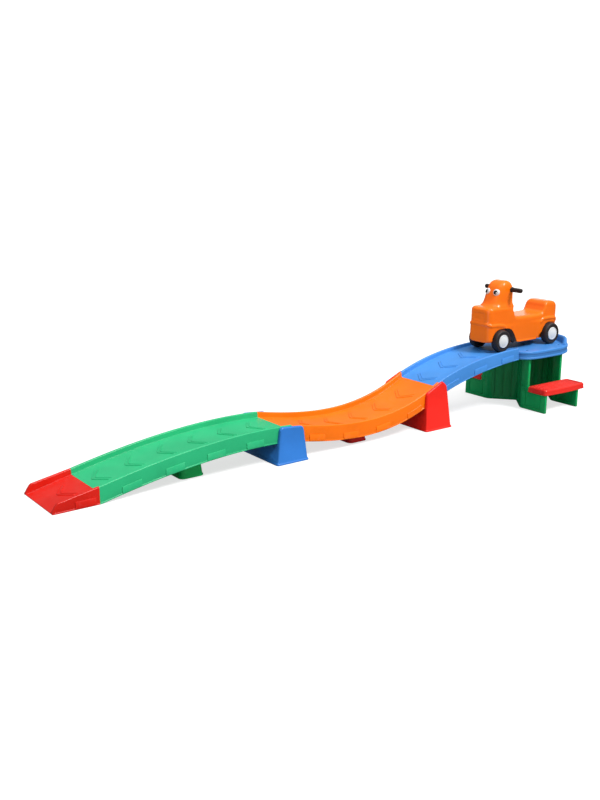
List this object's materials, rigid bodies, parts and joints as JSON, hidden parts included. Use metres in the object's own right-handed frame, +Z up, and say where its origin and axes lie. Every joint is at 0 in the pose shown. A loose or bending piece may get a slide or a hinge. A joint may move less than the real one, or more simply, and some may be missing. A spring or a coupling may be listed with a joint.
{
  "type": "ride-on roller coaster track and car",
  "caption": "Toddler's ride-on roller coaster: a hilly channel track on supports leads down from a platform with side steps, with a wheeled ride-on car that rolls along it.",
  "frame": {"origin": "on the floor, halfway along the set and in the middle of its width", "axes": "+Z up, +X from the ramp's lip towards the platform (the car faces -X), +Y to the car rider's right"},
  "size_m": [3.2, 0.625, 0.711],
  "materials": {
    "red_plastic": "moulded, satin gloss",
    "green_plastic": "moulded, satin gloss",
    "orange_plastic": "moulded, satin gloss",
    "blue_plastic": "moulded, satin gloss",
    "trestle_blue_plastic": "moulded, satin gloss",
    "dark_green_plastic": "moulded, satin",
    "black_plastic": "moulded, satin",
    "pale_plastic": "moulded, satin",
    "grip_plastic": "moulded, soft",
    "steel": "drawn, plain"
  },
  "bodies": {
    "track_set": {"ramp_end": "red_plastic", "low_hill_track": "green_plastic", "valley_track": "orange_plastic", "high_hill_track": "blue_plastic", "platform": "blue_plastic", "low_trestle": "trestle_blue_plastic", "high_trestle": "red_plastic", "low_hill_foot": "green_plastic", "valley_foot": "red_plastic", "front_support_panel": "dark_green_plastic", "rear_support_panel": "dark_green_plastic", "near_step": "red_plastic", "far_step": "red_plastic", "platform_screw_1": "steel", "platform_screw_2": "steel", "platform_screw_3": "steel", "platform_screw_4": "steel"},
    "car": {"car_body": "orange_plastic", "front_axle": "steel", "rear_axle": "steel", "push_nut_front_near": "steel", "push_nut_front_far": "steel", "push_nut_rear_near": "steel", "push_nut_rear_far": "steel", "spacer_front_near": "black_plastic", "spacer_front_far": "black_plastic", "spacer_rear_near": "black_plastic", "spacer_rear_far": "black_plastic", "handlebar": "steel", "grip_near": "grip_plastic", "grip_far": "grip_plastic", "eye_near": "pale_plastic", "eye_far": "pale_plastic", "pupil_near": "black_plastic", "pupil_far": "black_plastic"},
    "front_near_wheel": {"wheel_front_near": "black_plastic", "hub_cap_front_near": "pale_plastic"},
    "front_far_wheel": {"wheel_front_far": "black_plastic", "hub_cap_front_far": "pale_plastic"},
    "rear_near_wheel": {"wheel_rear_near": "black_plastic", "hub_cap_rear_near": "pale_plastic"},
    "rear_far_wheel": {"wheel_rear_far": "black_plastic", "hub_cap_rear_far": "pale_plastic"}
  },
  "joints": [
    {"name": "car_roll", "type": "slide", "parent": "track_set", "child": "car", "axis": [1, 0, 0], "range_m": [-0.06, 0.02]},
    {"name": "front_near_wheel_spin", "type": "hinge", "parent": "car", "child": "front_near_wheel", "pos_m": [1.054, 0, 0.3903], "axis": [0, 1, 0], "continuous": true},
    {"name": "front_far_wheel_spin", "type": "hinge", "parent": "car", "child": "front_far_wheel", "pos_m": [1.054, 0, 0.3903], "axis": [0, 1, 0], "continuous": true},
    {"name": "rear_near_wheel_spin", "type": "hinge", "parent": "car", "child": "rear_near_wheel", "pos_m": [1.458, 0, 0.3903], "axis": [0, 1, 0], "continuous": true},
    {"name": "rear_far_wheel_spin", "type": "hinge", "parent": "car", "child": "rear_far_wheel", "pos_m": [1.458, 0, 0.3903], "axis": [0, 1, 0], "continuous": true}
  ],
  "couplings": [
    {"joint": "front_near_wheel_spin", "follows": "car_roll", "rad_per_m": 16.667},
    {"joint": "front_far_wheel_spin", "follows": "car_roll", "rad_per_m": 16.667},
    {"joint": "rear_near_wheel_spin", "follows": "car_roll", "rad_per_m": 16.667},
    {"joint": "rear_far_wheel_spin", "follows": "car_roll", "rad_per_m": 16.667}
  ]
}
